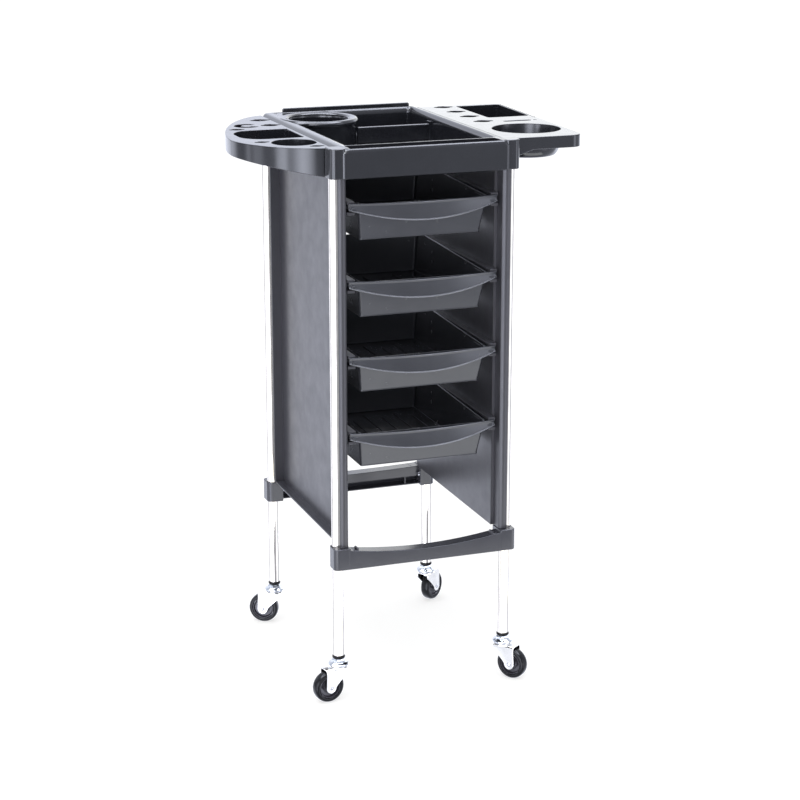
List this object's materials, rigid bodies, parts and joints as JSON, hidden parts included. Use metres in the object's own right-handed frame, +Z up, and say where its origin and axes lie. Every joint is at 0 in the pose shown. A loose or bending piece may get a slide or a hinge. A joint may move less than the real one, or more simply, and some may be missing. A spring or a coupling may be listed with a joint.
{
  "type": "spa trolley cart",
  "caption": "Narrow salon trolley on swivel casters: moulded top tray with two side wings, sliding drawers between slotted side panels, chromed tube legs.",
  "frame": {"origin": "middle of the bounding box in X and Y, at floor level under the wheels", "axes": "+Z up, the drawers open towards -Y, +X to the right when facing the drawers"},
  "size_m": [0.539, 0.435, 0.877],
  "materials": {
    "tray_plastic": "high gloss black",
    "panel_plastic": "satin black",
    "drawer_plastic": "semi-gloss black",
    "bar_plastic": "satin black",
    "chrome": "bright chrome plate",
    "steel": "zinc plated",
    "hub_plastic": "moulded grey-black",
    "tyre_rubber": "smooth satin"
  },
  "bodies": {
    "trolley": {"top_tray": "tray_plastic", "tray_divider": "tray_plastic", "left_wing": "tray_plastic", "right_wing": "tray_plastic", "left_panel": "panel_plastic", "right_panel": "panel_plastic", "front_crossbar": "bar_plastic", "rear_crossbar": "bar_plastic", "leg_front_left": "chrome", "leg_front_right": "chrome", "leg_rear_left": "chrome", "leg_rear_right": "chrome", "leg_plug_front_left": "bar_plastic", "leg_plug_front_right": "bar_plastic", "leg_plug_rear_left": "bar_plastic", "leg_plug_rear_right": "bar_plastic", "bar_screw_front_left": "steel", "bar_screw_front_right": "steel", "bar_screw_rear_left": "steel", "bar_screw_rear_right": "steel", "caster_mount_front_left": "chrome", "caster_mount_front_right": "chrome", "caster_mount_rear_left": "chrome", "caster_mount_rear_right": "chrome"},
    "drawer_1": {"drawer_1": "drawer_plastic"},
    "drawer_2": {"drawer_2": "drawer_plastic"},
    "drawer_3": {"drawer_3": "drawer_plastic"},
    "drawer_4": {"drawer_4": "drawer_plastic"},
    "swivel_front_left": {"ball_race_front_left": "steel", "fork_front_left": "chrome"},
    "wheel_front_left": {"wheel_hub_front_left": "hub_plastic", "tyre_front_left": "tyre_rubber", "axle_front_left": "steel"},
    "swivel_front_right": {"ball_race_front_right": "steel", "fork_front_right": "chrome"},
    "wheel_front_right": {"wheel_hub_front_right": "hub_plastic", "tyre_front_right": "tyre_rubber", "axle_front_right": "steel"},
    "swivel_rear_left": {"ball_race_rear_left": "steel", "fork_rear_left": "chrome"},
    "wheel_rear_left": {"wheel_hub_rear_left": "hub_plastic", "tyre_rear_left": "tyre_rubber", "axle_rear_left": "steel"},
    "swivel_rear_right": {"ball_race_rear_right": "steel", "fork_rear_right": "chrome"},
    "wheel_rear_right": {"wheel_hub_rear_right": "hub_plastic", "tyre_rear_right": "tyre_rubber", "axle_rear_right": "steel"}
  },
  "joints": [
    {"name": "drawer_1_slide", "type": "slide", "parent": "trolley", "child": "drawer_1", "axis": [0, -1, 0], "range_m": [0, 0.22]},
    {"name": "drawer_2_slide", "type": "slide", "parent": "trolley", "child": "drawer_2", "axis": [0, -1, 0], "range_m": [0, 0.22]},
    {"name": "drawer_3_slide", "type": "slide", "parent": "trolley", "child": "drawer_3", "axis": [0, -1, 0], "range_m": [0, 0.22]},
    {"name": "drawer_4_slide", "type": "slide", "parent": "trolley", "child": "drawer_4", "axis": [0, -1, 0], "range_m": [0, 0.22]},
    {"name": "swivel_front_left", "type": "hinge", "parent": "trolley", "child": "swivel_front_left", "pos_m": [-0.1525, -0.17852, 0.057], "axis": [0, 0, 1], "continuous": true},
    {"name": "spin_front_left", "type": "hinge", "parent": "swivel_front_left", "child": "wheel_front_left", "pos_m": [-0.17121, -0.18182, 0.025], "axis": [0.1736, -0.9848, 0], "continuous": true},
    {"name": "swivel_front_right", "type": "hinge", "parent": "trolley", "child": "swivel_front_right", "pos_m": [0.1255, -0.17852, 0.057], "axis": [0, 0, 1], "continuous": true},
    {"name": "spin_front_right", "type": "hinge", "parent": "swivel_front_right", "child": "wheel_front_right", "pos_m": [0.13667, -0.19389, 0.025], "axis": [0.809, 0.5878, 0], "continuous": true},
    {"name": "swivel_rear_left", "type": "hinge", "parent": "trolley", "child": "swivel_rear_left", "pos_m": [-0.1525, 0.16948, 0.057], "axis": [0, 0, 1], "continuous": true},
    {"name": "spin_rear_left", "type": "hinge", "parent": "swivel_rear_left", "child": "wheel_rear_left", "pos_m": [-0.16879, 0.17927, 0.025], "axis": [-0.515, -0.8572, 0], "continuous": true},
    {"name": "swivel_rear_right", "type": "hinge", "parent": "trolley", "child": "swivel_rear_right", "pos_m": [0.1255, 0.16948, 0.057], "axis": [0, 0, 1], "continuous": true},
    {"name": "spin_rear_right", "type": "hinge", "parent": "swivel_rear_right", "child": "wheel_rear_right", "pos_m": [0.14067, 0.18092, 0.025], "axis": [-0.6018, 0.7986, 0], "continuous": true}
  ]
}
